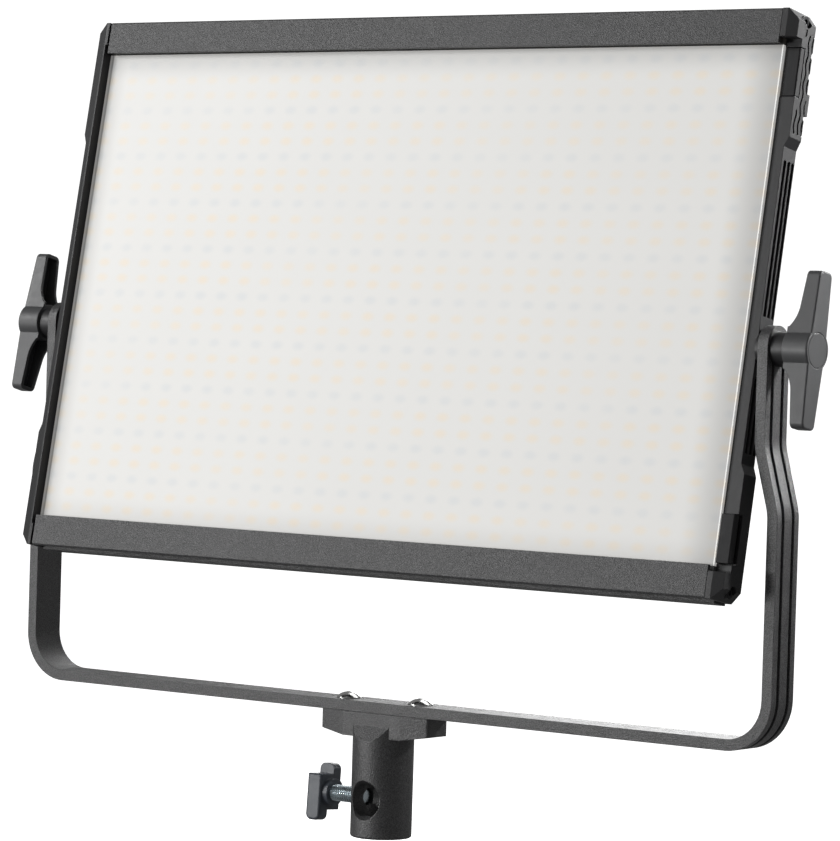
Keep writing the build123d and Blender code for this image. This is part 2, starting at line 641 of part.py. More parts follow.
# ---- knobs --------------------------------------------------------------------------------------
def tilt_knob():
    """Right tilt knob about X, wings up and down, hollow towards the head."""
    inner = KNOB_CAP_X - KNOB_HUB_LENGTH
    outline = [(-6.9, 0), (-5.0, KNOB_WING), (5.0, KNOB_WING), (6.9, 0), (5.0, -KNOB_WING), (-5.0, -KNOB_WING)]
    wings = profile_x(outline, inner, KNOB_CAP_X)
    wings = fillet(wings.edges().filter_by(Axis.X).group_by(Axis.Z)[-1], 2.6)
    wings = fillet(wings.edges().filter_by(Axis.X).group_by(Axis.Z)[0], 2.6)
    tip = KNOB_CAP_X - 7.2
    for side in (-1, 1):
        relief = Line((inner - 1, side * 9.6), (inner + 0.8, side * 9.6)).edges()
        sweep_in = RadiusArc((inner + 0.8, side * 9.6), (tip - 0.8, side * 19.5), -side * 16).edges()
        along = Line((tip - 0.8, side * 19.5), (tip + 0.6, side * (KNOB_WING + 1))).edges()
        closing = Polyline((tip + 0.6, side * (KNOB_WING + 1)), (inner - 1, side * (KNOB_WING + 1)),
                           (inner - 1, side * 9.6)).edges()
        face = Plane.XZ * make_face([relief, sweep_in, along, closing])
        wings -= extrude(face, 20, both=True)
    knob = wings + rod_x(KNOB_HUB_R, inner, KNOB_CAP_X)
    cap_edges = knob.faces().sort_by(Axis.X)[-1].outer_wire().edges()
    knob = fillet(cap_edges, 0.8)
    hollow = [(-5.2, 8), (-3.4, KNOB_WING - 1.8), (3.4, KNOB_WING - 1.8), (5.2, 8)]
    core = rod_x(KNOB_HUB_R - 0.2, inner - 1, KNOB_CAP_X)
    for side in (-1, 1):
        points = [(y, side * z) for y, z in hollow]
        knob -= profile_x(points, inner - 1, KNOB_CAP_X - 2.0) - core
    ring = rod_x(8.0, KNOB_CAP_X - 0.3, KNOB_CAP_X + 1) - rod_x(7.7, KNOB_CAP_X - 1, KNOB_CAP_X + 2)
    knob -= ring
    return knob - rod_x(TILT_STUD_R, inner - 1, KNOB_CAP_X - 2.5)


def tilt_stud():
    """Threaded stud moulded into the right tilt knob."""
    return rod_x(TILT_STUD_R, RAIL_HALF + 0.8, KNOB_CAP_X - 2.5)


def socket_knob():
    """T-knob of the receiver's clamping screw: two offset blades on a hub, on the -X side."""
    blade_in = -31.2
    blade_out = -39.6
    near = block(blade_out, blade_in, -8.0, -1.6, -13.7, 8.6)
    far = block(blade_out, blade_in, 1.6, 8.0, -8.6, 13.7)
    blades = near + far + block(blade_out, blade_in, -3, 3, -8.6, 8.6)
    blades = fillet(blades.edges().filter_by(Axis.Y).group_by(Axis.Z)[0], 3.0)
    blades = fillet(blades.edges().filter_by(Axis.Y).group_by(Axis.Z)[-1], 3.0)
    blades = fillet(blades.faces().sort_by(Axis.Y)[0].edges(), 1.2)
    blades = fillet(blades.faces().sort_by(Axis.Y)[-1].edges(), 1.2)
    body = blades + rod_x(6.6, blade_in - 0.6, -28.4)
    body -= rod_x(STUD_R, -37.0, -28)
    return Pos(0, 0, SIDE_BORE_Z) * Rot(-SOCKET_KNOB_LEAN, 0, 0) * body


def socket_stud():
    """Threaded stud of the clamping screw, its tip inside the tube's wall."""
    return rod_x(STUD_R, -37.0, -SIDE_BORE_R - 1.5, 0, SIDE_BORE_Z)


# ---- write every node ---------------------------------------------------------------------------
half_bar = BAR_THICK / 2
save("yoke_bar", yoke_bar())
save("spigot_receiver", spigot_receiver())
save("receiver_screws", as_group([button_head_screw(x) for x in (-SCREW_SPACING / 2, SCREW_SPACING / 2)]))
save("friction_washers", arm_washers(COVER_OUTER - COVER_RECESS + 0.1, ARM_X_UPPER - half_bar, 7.6))
save("knob_washers", arm_washers(ARM_X_UPPER + half_bar, KNOB_CAP_X - KNOB_HUB_LENGTH - 0.1, 7.9))

low_rail = HEAD_BOTTOM + BOTTOM_RAIL_HEIGHT
high_rail = HEAD_TOP - TOP_RAIL_HEIGHT
latch_low = low_rail + 1.0
latch_high = high_rail - 1.0 - LATCH_SIZE[2] - 0.6
save("top_rail", on_head(top_rail()))
save("bottom_rail", on_head(bottom_rail()))
save("side_cover_right", on_head(side_cover(True)))
save("side_cover_left", on_head(mirror_x(side_cover(False))))
save("pivot_bracket_right", on_head(pivot_bracket()))
save("pivot_bracket_left", on_head(mirror_x(pivot_bracket())))
save("diffuser", on_head(diffuser()))
save("reflector_frame", on_head(reflector_frame()))
save("led_board", on_head(led_board()))
save("back_plate", on_head(back_plate()))
save("heat_sink_right", on_head(heat_sink(1)))
save("heat_sink_left", on_head(heat_sink(-1)))
back_screws = [pan_head_screw_back(x, HEAD_BACK, z, 3.0) for x, z in back_screw_places()]
save("back_screws", on_head(as_group(back_screws)))
right_screws = [cover_screw(y, z) for y, z in cover_screw_places()]
save("cover_screws", on_head(as_group(right_screws + [mirror_x(screw) for screw in right_screws])))
save("accessory_latch_lower", on_head(accessory_latch(latch_low, STRIP_FRONT - LATCH_TRAVEL)))
save("accessory_latch_upper", on_head(accessory_latch(latch_high, STRIP_FRONT)))

save("control_box", on_head(control_box()))
save("control_box_screws", on_head(as_group(control_box_screws())))
save("display_window", on_head(display_window()))
save("display_module", on_head(display_module()))
save("control_board", on_head(front_board()))
save("driver_board", on_head(driver_board()))
save("power_inlet", on_head(power_inlet()))
save("power_switch", on_head(switch_frame()))
save("power_rocker", on_head(power_rocker()))
for name, side in (("brightness", -1), ("colour", 1)):
    save(f"{name}_encoder", on_head(dial_shaft(side)))
    save(f"{name}_dial", on_head(dial(side)))
for name, x in zip(("mode_button", "menu_button"), BUTTON_X):
    save(name, on_head(push_button(x)))

save("tilt_knob_right", on_pivot(tilt_knob(), KNOB_LEAN_RIGHT))
save("tilt_stud_right", on_pivot(tilt_stud(), KNOB_LEAN_RIGHT))
save("tilt_knob_left", on_pivot(mirror_x(tilt_knob()), KNOB_LEAN_LEFT))
save("tilt_stud_left", on_pivot(mirror_x(tilt_stud()), KNOB_LEAN_LEFT))
save("socket_knob", socket_knob())
save("socket_stud", socket_stud())
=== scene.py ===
import json
from math import cos, pi, radians, sin

import bmesh
import bpy
from mathutils import Matrix, Vector

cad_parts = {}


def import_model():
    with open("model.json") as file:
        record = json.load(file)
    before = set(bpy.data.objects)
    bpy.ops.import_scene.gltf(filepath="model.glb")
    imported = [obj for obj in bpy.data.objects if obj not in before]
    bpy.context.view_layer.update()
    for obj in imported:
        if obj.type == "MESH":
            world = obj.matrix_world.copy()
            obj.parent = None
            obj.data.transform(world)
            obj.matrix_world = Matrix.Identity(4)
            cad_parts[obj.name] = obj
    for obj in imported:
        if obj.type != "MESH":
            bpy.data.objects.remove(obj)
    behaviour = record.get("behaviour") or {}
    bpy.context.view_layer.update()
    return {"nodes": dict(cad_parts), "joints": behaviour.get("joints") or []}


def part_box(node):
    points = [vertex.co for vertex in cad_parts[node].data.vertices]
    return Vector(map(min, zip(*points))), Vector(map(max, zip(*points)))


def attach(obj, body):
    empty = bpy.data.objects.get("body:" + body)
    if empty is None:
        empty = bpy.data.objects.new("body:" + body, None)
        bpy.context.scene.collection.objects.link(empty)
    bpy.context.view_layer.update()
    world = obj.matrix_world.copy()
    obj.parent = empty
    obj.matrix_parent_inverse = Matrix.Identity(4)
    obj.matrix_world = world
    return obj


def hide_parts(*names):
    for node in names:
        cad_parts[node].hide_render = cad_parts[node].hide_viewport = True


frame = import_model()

NODES = frame["nodes"]
MM = 0.001

JOINT_AT = {joint["name"]: Vector(joint["pos_m"]) for joint in frame["joints"] if "pos_m" in joint}

# the head's own frame: tilted about X at the pivot, which the joint states
TILT = radians(10.7)
PIVOT = JOINT_AT["panel_tilt"]
HEAD_TO_ROW = Matrix.Translation(PIVOT) @ Matrix.Rotation(-TILT, 4, "X")


def head_box(node):
    """Lowest and highest corners of a node, measured in the head's own frame."""
    to_head = HEAD_TO_ROW.inverted()
    points = [to_head @ vertex.co for vertex in NODES[node].data.vertices]
    lowest = Vector([min(point[axis] for point in points) for axis in range(3)])
    highest = Vector([max(point[axis] for point in points) for axis in range(3)])
    return lowest, highest


# the diffuser, the opening between the rails and the LED grid behind it, in the head's frame
DIFFUSER_LEFT = head_box("diffuser")[0].x
DIFFUSER_RIGHT = head_box("diffuser")[1].x
OPENING_LOW = head_box("bottom_rail")[1].z
OPENING_HIGH = head_box("top_rail")[0].z
OPENING_MIDDLE = (OPENING_LOW + OPENING_HIGH) / 2
LED_FACE_Y = head_box("led_board")[0].y
LED_PITCH_X = 13.2 * MM
LED_PITCH_Z = 7.8 * MM
LED_COLUMNS = 29
LED_ROWS = 30
LED_HALF_X = 1.75 * MM
LED_HALF_Z = 1.4 * MM
LED_TALL = 0.7 * MM
WHOLE_PERIODS = 300         # added before taking fractions, so that they stay positive

# the pointers on the two rear dials, which stand at the same distance left and right
DIAL_X = JOINT_AT["colour_dial_turn"].x
DIAL_FACE_Y = head_box("colour_dial")[1].y
POINTER_HALF = 0.55 * MM
POINTER_LOW = -5.0 * MM
PAINT_DEPTH = 0.1 * MM


# ---- node helpers -------------------------------------------------------------------------------
class Shader:
    """A material under construction: a Principled shader and short calls that add nodes to it."""

    def __init__(self, name):
        self.material = bpy.data.materials.new(name)
        self.material.use_nodes = True
        self.tree = self.material.node_tree
        self.bsdf = self.tree.nodes["Principled BSDF"]
        self.coords = self.add("ShaderNodeTexCoord").outputs["Object"]

    def add(self, kind, **settings):
        made = self.tree.nodes.new(kind)
        for key, value in settings.items():
            setattr(made, key, value)
        return made

    def link(self, source, target):
        if isinstance(source, (int, float, tuple, list)):
            target.default_value = source
        else:
            self.tree.links.new(source, target)

    def math(self, operation, a, b=0.0):
        made = self.add("ShaderNodeMath", operation=operation)
        for value, socket in zip((a, b), made.inputs):
            self.link(value, socket)
        return made.outputs[0]

    def noise(self, scale, detail=3.0, rough=0.55, coords=None):
        made = self.add("ShaderNodeTexNoise")
        made.inputs["Scale"].default_value = scale
        made.inputs["Detail"].default_value = detail
        made.inputs["Roughness"].default_value = rough
        self.link(coords or self.coords, made.inputs["Vector"])
        return made.outputs["Fac"]

    def cells(self, scale):
        made = self.add("ShaderNodeTexVoronoi")
        made.inputs["Scale"].default_value = scale
        self.link(self.coords, made.inputs["Vector"])
        return made.outputs["Distance"]

    def remap(self, value, low, high, out_low, out_high):
        made = self.add("ShaderNodeMapRange", clamp=True)
        made.interpolation_type = "SMOOTHSTEP"
        limits = {"From Min": low, "From Max": high, "To Min": out_low, "To Max": out_high}
        for key, number in limits.items():
            made.inputs[key].default_value = number
        self.link(value, made.inputs["Value"])
        return made.outputs["Result"]

    def mix(self, factor, a, b, blend="MIX"):
        made = self.add("ShaderNodeMix", data_type="RGBA", blend_type=blend)
        self.link(factor, made.inputs["Factor"])
        self.link(a, made.inputs["A"])
        self.link(b, made.inputs["B"])
        return made.outputs["Result"]

    def grey(self, value):
        made = self.add("ShaderNodeCombineColor")
        for socket in made.inputs[:3]:
            self.link(value, socket)
        return made.outputs[0]

    def head_coords(self, axes):
        """Object coordinates turned back into the head's upright frame, those of them that axes names."""
        moved = self.add("ShaderNodeVectorMath", operation="SUBTRACT")
        self.link(self.coords, moved.inputs[0])
        moved.inputs[1].default_value = PIVOT
        turned = self.add("ShaderNodeVectorRotate", rotation_type="X_AXIS")
        turned.inputs["Angle"].default_value = TILT
        self.link(moved.outputs[0], turned.inputs["Vector"])
        split = self.add("ShaderNodeSeparateXYZ")
        self.link(turned.outputs[0], split.inputs[0])
        return [split.outputs[axis] for axis in axes]

    def led_row(self, z):
        """Number of the LED row at a height, with its fraction."""
        above_middle = self.math("DIVIDE", self.math("SUBTRACT", z, OPENING_MIDDLE), LED_PITCH_Z)
        return self.math("ADD", above_middle, LED_ROWS / 2 + WHOLE_PERIODS)

    def is_cool_row(self, row):
        """1 on every third LED row, which is a cool one, 0 on the warm rows."""
        third = self.math("FRACT", self.math("DIVIDE", self.math("FLOOR", row), 3.0))
        return self.math("GREATER_THAN", third, 0.5)

    def edge_mask(self, radius):
        """1 along edges and 0 on open faces, from the difference a small bevel makes, and its normal."""
        bevel = self.add("ShaderNodeBevel", samples=4)
        bevel.inputs["Radius"].default_value = radius
        flat = self.add("ShaderNodeNewGeometry")
        dot = self.add("ShaderNodeVectorMath", operation="DOT_PRODUCT")
        self.link(bevel.outputs[0], dot.inputs[0])
        self.link(flat.outputs["Normal"], dot.inputs[1])
        return self.remap(dot.outputs["Value"], 0.86, 0.995, 1.0, 0.0), bevel.outputs[0]

    def bump(self, height, distance, strength, normal=None):
        made = self.add("ShaderNodeBump")
        made.inputs["Distance"].default_value = distance
        made.inputs["Strength"].default_value = strength
        self.link(height, made.inputs["Height"])
        if normal is not None:
            self.link(normal, made.inputs["Normal"])
        return made.outputs["Normal"]


def rgb(colour):
    """The colour with full opacity, as a colour socket takes it."""
    return (*colour, 1.0)


def scaled(colour, factor):
    return tuple(channel * factor for channel in colour)


PATCHES_PER_METRE = 22.0
SMUDGES_PER_METRE = 260.0


def coated(name, colour, rough, grain, depth, speckle=0.2, wear=0.25, metallic=0.0, specular=0.5, edge=0.5,
           paint=None):
    """Grained surface: powder coat or moulded plastic, with mottling, speckle and lighter edges that are
    partly wear and partly a painted highlight.

    grain is in metres, depth of the grain and width of the lighter edge (wear and painted highlight) in
    millimetres."""
    s = Shader(name)
    fine = s.noise(1.0 / grain, 2.0, 0.6)
    pits = s.cells(0.8 / grain)
    patch = s.noise(PATCHES_PER_METRE, 3.0, 0.5)
    smudge = s.noise(SMUDGES_PER_METRE, 4.0, 0.6)
    speck = s.remap(fine, 0.38, 0.62, 0.0, 1.0)
    base = s.mix(speck, rgb(scaled(colour, 1 - speckle)), rgb(scaled(colour, 1 + speckle)))
    tone = s.grey(s.remap(patch, 0.3, 0.7, 0.96, 1.04))
    base = s.mix(1.0, base, tone, "MULTIPLY")
    mask, soft_normal = s.edge_mask(edge * MM)
    # painted highlight and wear: edges are lightened towards 2.6 times the colour, by up to the wear amount
    edge_wear_and_highlight = s.math("MULTIPLY", mask, s.remap(smudge, 0.35, 0.7, wear * 0.4, wear))
    base = s.mix(edge_wear_and_highlight, base, rgb(scaled(colour, 2.6)))
    if paint:
        base = paint(s, base)
    s.link(base, s.bsdf.inputs["Base Color"])
    s.link(s.remap(smudge, 0.3, 0.7, rough - 0.02, rough + 0.03), s.bsdf.inputs["Roughness"])
    height = s.math("ADD", fine, s.math("MULTIPLY", pits, 0.6))
    s.link(s.bump(height, depth * MM, 0.6, soft_normal), s.bsdf.inputs["Normal"])
    s.bsdf.inputs["Metallic"].default_value = metallic
    s.bsdf.inputs["Specular IOR Level"].default_value = specular
    return s.material


def pointer_line(s, base):
    """White pointer printed across the face of each rear dial."""
    x, y, z = s.head_coords("XYZ")
    from_dial = s.math("ABSOLUTE", s.math("SUBTRACT", s.math("ABSOLUTE", x), DIAL_X))
    mask = s.math("LESS_THAN", from_dial, POINTER_HALF)
    for source, limit in ((z, POINTER_LOW), (y, DIAL_FACE_Y - PAINT_DEPTH)):
        mask = s.math("MULTIPLY", mask, s.math("GREATER_THAN", source, limit))
    return s.mix(mask, base, (0.7, 0.7, 0.69, 1.0))


def plated(name, colour, rough, stretch, wear=0.3):
    """Bright plated metal with fine turning marks and slight tarnish."""
    s = Shader(name)
    mapping = s.add("ShaderNodeMapping")
    mapping.inputs["Scale"].default_value = stretch
    s.link(s.coords, mapping.inputs["Vector"])
    marks = s.noise(900.0, 3.0, 0.6, mapping.outputs[0])
    tarnish = s.noise(SMUDGES_PER_METRE, 4.0, 0.6)
    base = s.mix(s.remap(tarnish, 0.4, 0.75, 0.0, wear), rgb(colour), rgb(scaled(colour, 0.55)))
    s.link(base, s.bsdf.inputs["Base Color"])
    s.link(s.remap(marks, 0.3, 0.7, rough * 0.7, rough * 1.4), s.bsdf.inputs["Roughness"])
    soft_normal = s.edge_mask(0.25 * MM)[1]
    s.link(s.bump(marks, 0.02 * MM, 0.35, soft_normal), s.bsdf.inputs["Normal"])
    s.bsdf.inputs["Metallic"].default_value = 1.0
    return s.material


DOT_SQUEEZE = 0.62          # shortens distances across, so that the blurred dots are wider than tall


def opal():
    """Opal diffuser: the chips show through as faint warm and cool dots; painted shade darkens it near its
    frame, a painted highlight runs along its right edge, and its colour is also emitted as a painted glow.
    """
    s = Shader("opal_diffuser")
    x, z = s.head_coords("XZ")
    column = s.math("ADD", s.math("DIVIDE", x, LED_PITCH_X), WHOLE_PERIODS + 0.5)
    row = s.led_row(z)
    in_column = s.math("SUBTRACT", s.math("FRACT", column), 0.5)
    in_row = s.math("SUBTRACT", s.math("FRACT", row), 0.5)
    off_x = s.math("MULTIPLY", in_column, LED_PITCH_X * DOT_SQUEEZE)
    off_z = s.math("MULTIPLY", in_row, LED_PITCH_Z)
    distance = s.math("SQRT", s.math("ADD", s.math("POWER", off_x, 2.0), s.math("POWER", off_z, 2.0)))
    dot = s.remap(distance, 0.5 * MM, 3.3 * MM, 1.0, 0.0)
    drift = s.noise(14.0, 2.0, 0.5)
    strength = s.math("MULTIPLY", dot, s.remap(drift, 0.3, 0.7, 0.55, 1.0))
    tint = s.mix(s.is_cool_row(row), (0.73, 0.62, 0.47, 1.0), (0.58, 0.60, 0.61, 1.0))
    field = s.mix(s.noise(9.0, 2.0, 0.5), (0.655, 0.650, 0.632, 1.0), (0.685, 0.680, 0.660, 1.0))
    base = s.mix(s.math("MULTIPLY", strength, 0.5), field, tint)

    def shade_from(side, reach, low):
        return s.remap(side, 0.0, reach, low, 1.0)

    left = s.math("SUBTRACT", x, DIFFUSER_LEFT)
    right = s.math("SUBTRACT", DIFFUSER_RIGHT, x)
    above = s.math("SUBTRACT", OPENING_HIGH, z)
    below = s.math("SUBTRACT", z, OPENING_LOW)
    # painted shade: the diffuser is darkened over the last 13 to 22 mm towards each side of its frame
    shade = s.math("MULTIPLY", shade_from(left, 14 * MM, 0.76), shade_from(right, 22 * MM, 0.70))
    shade = s.math("MULTIPLY", shade, s.math("MULTIPLY", shade_from(above, 15 * MM, 0.78),
                                             shade_from(below, 13 * MM, 0.90)))
    # painted shade: a thin darker line 1.1 to 2.7 mm in from the diffuser's left edge, as a groove's shade
    painted_groove_shade = s.math("MULTIPLY", s.remap(left, 1.1 * MM, 1.5 * MM, 0.0, 1.0),
                    s.remap(left, 2.1 * MM, 2.7 * MM, 1.0, 0.0))
    shade = s.math("MULTIPLY", shade, s.math("SUBTRACT", 1.0, s.math("MULTIPLY", painted_groove_shade, 0.5)))
    # painted highlight: a bright line along the diffuser's right edge, where its end face catches the light
    painted_edge_highlight = s.remap(right, 0.5 * MM, 0.9 * MM, 1.3, 0.0)
    shade = s.math("MAXIMUM", shade, painted_edge_highlight)
    # painted shadow: where the diffuser runs behind the top and bottom rails it is darkened almost to black
    behind_rails_shade = s.math("MAXIMUM", s.math("GREATER_THAN", 0.0, above), s.math("GREATER_THAN", 0.0, below))
    shade = s.math("MULTIPLY", shade, s.math("SUBTRACT", 1.0, s.math("MULTIPLY", behind_rails_shade, 0.97)))
    base = s.mix(1.0, base, s.grey(shade), "MULTIPLY")
    s.link(base, s.bsdf.inputs["Base Color"])
    # painted glow: the diffuser's colour, with its painted shade and highlight, is also emitted though the
    # panel is switched off
    s.link(base, s.bsdf.inputs["Emission Color"])
    s.bsdf.inputs["Emission Strength"].default_value = 0.30
    frost = s.noise(1600.0, 2.0, 0.6)
    s.link(s.remap(frost, 0.3, 0.7, 0.42, 0.56), s.bsdf.inputs["Roughness"])
    s.link(s.bump(frost, 0.01 * MM, 0.3), s.bsdf.inputs["Normal"])
    s.bsdf.inputs["Specular IOR Level"].default_value = 0.35
    return s.material


def screen():
    """Dark glossy display window with a few plain lit bars under it, which are given in millimetres."""
    s = Shader("display_glass")
    x, z = s.head_coords("XZ")

    def bar(x0, x1, z0, z1):
        inside = s.math("MULTIPLY", s.math("GREATER_THAN", x, x0 * MM), s.math("LESS_THAN", x, x1 * MM))
        level = s.math("MULTIPLY", s.math("GREATER_THAN", z, z0 * MM), s.math("LESS_THAN", z, z1 * MM))
        return s.math("MULTIPLY", inside, level)

    lit = bar(-22, 22, 29, 31)
    for x0, x1, z0, z1 in ((-22, 9, 21, 24.5), (-22, -3, 14, 17.5), (14, 22, 14, 24.5)):
        lit = s.math("MAXIMUM", lit, bar(x0, x1, z0, z1))
    haze = s.noise(90.0, 4.0, 0.6)
    base = s.mix(s.remap(haze, 0.3, 0.7, 0.0, 1.0), (0.008, 0.009, 0.011, 1), (0.014, 0.015, 0.018, 1))
    s.link(s.mix(lit, base, (0.35, 0.5, 0.6, 1)), s.bsdf.inputs["Base Color"])
    s.link(s.mix(lit, (0, 0, 0, 1), (0.35, 0.62, 0.8, 1)), s.bsdf.inputs["Emission Color"])
    s.bsdf.inputs["Emission Strength"].default_value = 0.6
    s.link(s.remap(haze, 0.3, 0.7, 0.05, 0.12), s.bsdf.inputs["Roughness"])
    return s.material


def circuit(name, mask_colour, part_colour):
    """Circuit board: solder mask with faint tracks in a second, darker colour."""
    s = Shader(name)
    tracks = s.cells(420.0)
    line = s.remap(tracks, 0.25, 0.32, 0.0, 1.0)
    base = s.mix(s.math("MULTIPLY", line, 0.35), rgb(mask_colour), rgb(part_colour))
    s.link(base, s.bsdf.inputs["Base Color"])
    s.link(s.remap(s.noise(300.0), 0.3, 0.7, 0.3, 0.5), s.bsdf.inputs["Roughness"])
    s.link(s.bump(tracks, 0.03 * MM, 0.4), s.bsdf.inputs["Normal"])
    return s.material


def chip_material():
    """Phosphor windows of the chips, warm rows and cool rows."""
    s = Shader("led_phosphor")
    height = s.head_coords("Z")[0]
    cool = s.is_cool_row(s.led_row(height))
    tint = s.mix(cool, (0.85, 0.55, 0.12, 1), (0.86, 0.82, 0.3, 1))
    cloudy = s.noise(1500.0)
    s.link(s.mix(s.math("MULTIPLY", cloudy, 0.3), tint, (0.9, 0.9, 0.85, 1)), s.bsdf.inputs["Base Color"])
    s.link(s.remap(cloudy, 0.3, 0.7, 0.25, 0.4), s.bsdf.inputs["Roughness"])
    return s.material


# ---- materials ----------------------------------------------------------------------------------
YOKE_COAT = coated("charcoal_powder_coat", (0.040, 0.040, 0.041), rough=0.40, grain=0.5 * MM, depth=0.30,
                   speckle=0.7, wear=0.16, specular=0.7)
RAIL_COAT = coated("rail_texture_coat", (0.044, 0.044, 0.045), rough=0.45, grain=0.5 * MM, depth=0.28,
                   speckle=0.65, wear=0.2)
COVER = coated("cover_plastic", (0.018, 0.018, 0.019), rough=0.44, grain=0.3 * MM, depth=0.06,
               speckle=0.2, wear=0.45, specular=0.36, edge=0.45)
KNOB = coated("knob_plastic", (0.060, 0.061, 0.063), rough=0.44, grain=0.25 * MM, depth=0.035,
              speckle=0.10, wear=0.22, edge=0.6)
DIAL = coated("dial_plastic", (0.050, 0.051, 0.053), rough=0.42, grain=0.25 * MM, depth=0.03,
              speckle=0.1, paint=pointer_line)
SMALL_KNOB = coated("blue_black_plastic", (0.052, 0.060, 0.073), rough=0.40, grain=0.25 * MM, depth=0.02,
                    speckle=0.08, wear=0.3, edge=0.7)
BLACK = coated("black_plastic", (0.014, 0.014, 0.015), rough=0.45, grain=0.3 * MM, depth=0.03,
               speckle=0.15, wear=0.2)
LATCH = coated("latch_plastic", (0.014, 0.014, 0.015), rough=0.56, grain=0.3 * MM, depth=0.04,
               speckle=0.14, wear=0.35, specular=0.25)
ANODISED = coated("black_anodised", (0.05, 0.05, 0.052), rough=0.38, grain=0.35 * MM, depth=0.02,
                  speckle=0.12, wear=0.4, metallic=0.55)
BLACK_STEEL = coated("black_oxide_steel", (0.03, 0.03, 0.031), rough=0.34, grain=0.3 * MM, depth=0.02,
                     speckle=0.2, wear=0.5, metallic=0.8)
WHITE = coated("white_reflector", (0.75, 0.75, 0.74), rough=0.6, grain=0.5 * MM, depth=0.02,
               speckle=0.03, wear=0.0)
ALUMINIUM = plated("turned_aluminium", (0.62, 0.62, 0.63), 0.3, (1, 0.2, 1))
BRIGHT = plated("nickel_plate", (0.80, 0.80, 0.79), 0.16, (1, 1, 0.3), wear=0.4)
ZINC = plated("zinc_plate", (0.60, 0.68, 0.72), 0.24, (0.25, 1, 1))

DRESS = {
    YOKE_COAT: ["yoke_bar", "spigot_receiver"],
    RAIL_COAT: ["top_rail", "bottom_rail"],
    COVER: ["side_cover_left", "side_cover_right", "control_box"],
    KNOB: ["tilt_knob_left", "tilt_knob_right"],
    DIAL: ["brightness_dial", "colour_dial"],
    SMALL_KNOB: ["socket_knob"],
    BLACK: ["friction_washers", "knob_washers", "power_inlet", "power_switch", "power_rocker", "mode_button",
            "menu_button", "display_module"],
    LATCH: ["accessory_latch_lower", "accessory_latch_upper"],
    ANODISED: ["pivot_bracket_left", "pivot_bracket_right", "back_plate", "heat_sink_left",
               "heat_sink_right"],
    BLACK_STEEL: ["back_screws", "cover_screws", "control_box_screws"],
    WHITE: ["reflector_frame"],
    ALUMINIUM: ["brightness_encoder", "colour_encoder"],
    BRIGHT: ["receiver_screws"],
    ZINC: ["tilt_stud_left", "tilt_stud_right", "socket_stud"],
    opal(): ["diffuser"],
    screen(): ["display_window"],
    circuit("led_board_mask", (0.8, 0.8, 0.79), (0.6, 0.6, 0.58)): ["led_board"],
    circuit("green_board_mask", (0.02, 0.13, 0.06), (0.01, 0.06, 0.03)): ["control_board", "driver_board"],
}
for material, names in DRESS.items():
    for name in names:
        mesh = NODES[name].data
        mesh.materials.clear()
        mesh.materials.append(material)


# ---- detail pieces ------------------------------------------------------------------------------
def mesh_piece(name, bm, material, body, smooth=30):
    """Turns a bmesh into an object that rides on a body."""
    mesh = bpy.data.meshes.new(name)
    bm.normal_update()
    bm.to_mesh(mesh)
    bm.free()
    for face in mesh.polygons:
        face.use_smooth = True
    mesh.set_sharp_from_angle(angle=radians(smooth))
    piece = bpy.data.objects.new(name, mesh)
    bpy.context.scene.collection.objects.link(piece)
    mesh.materials.append(material)
    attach(piece, body)
    return piece


THREAD_DEPTH = 0.61         # share of the pitch, as on a metric screw
M8_PITCH = 1.25 * MM


def threaded_rod(start, end, radius, pitch, y, z):
    """Bmesh of a threaded rod along X whose thread runs out in a taper at its far end."""
    bm = bmesh.new()
    around = 40
    per_pitch = 8
    depth = THREAD_DEPTH * pitch
    steps = int((end - start) / pitch * per_pitch)
    rings = []
    for step in range(steps + 1):
        x = start + (end - start) * step / steps
        ring = []
        for index in range(around):
            angle = 2 * pi * index / around
            phase = ((x - start) / pitch - index / around) % 1.0
            painted_groove_shade = max(0.0, 1.0 - abs(phase - 0.5) * 2.6)
            run_out = min(1.0, (end - x) / pitch * 0.9 + 0.1)
            r = radius - depth * max(painted_groove_shade, 1 - run_out)
            ring.append(bm.verts.new((x, y + r * cos(angle), z + r * sin(angle))))
        rings.append(ring)
    for a, b in zip(rings, rings[1:]):
        for index in range(around):
            after = (index + 1) % around
            bm.faces.new((a[index], a[after], b[after], b[index]))
    bm.faces.new(list(reversed(rings[0])))
    bm.faces.new(rings[-1])
    bmesh.ops.recalc_face_normals(bm, faces=bm.faces)
    return bm


def socket_thread():
    """The stud of the receiver's knob with a real thread, in place of the plain rod."""
    low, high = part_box("socket_stud")
    centre = (low + high) / 2
    radius = (high.y - low.y) / 2
    bm = threaded_rod(low.x, high.x, radius - 0.02 * MM, M8_PITCH, centre.y, centre.z)
    piece = mesh_piece("socket_stud_thread", bm, ZINC, "socket_clamp", smooth=50)
    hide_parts("socket_stud")


def led_chip(bm, x, z):
    """One chip package: a body that draws in to a raised phosphor window."""
    corners = ((-1, -1), (1, -1), (1, 1), (-1, 1))
    levels = []
    for spread, rise in ((1.0, 0.0), (1.0, 0.8), (0.8, 0.8), (0.62, 1.0)):
        ring = []
        for across, up in corners:
            place = Vector((x + across * LED_HALF_X * spread, LED_FACE_Y - rise * LED_TALL,
                            z + up * LED_HALF_Z * spread))
            ring.append(bm.verts.new(HEAD_TO_ROW @ place))
        levels.append(ring)
    for low, high in zip(levels, levels[1:]):
        for index in range(4):
            after = (index + 1) % 4
            bm.faces.new((low[index], low[after], high[after], high[index]))
    bm.faces.new(levels[-1])
    bm.faces.new(list(reversed(levels[0])))


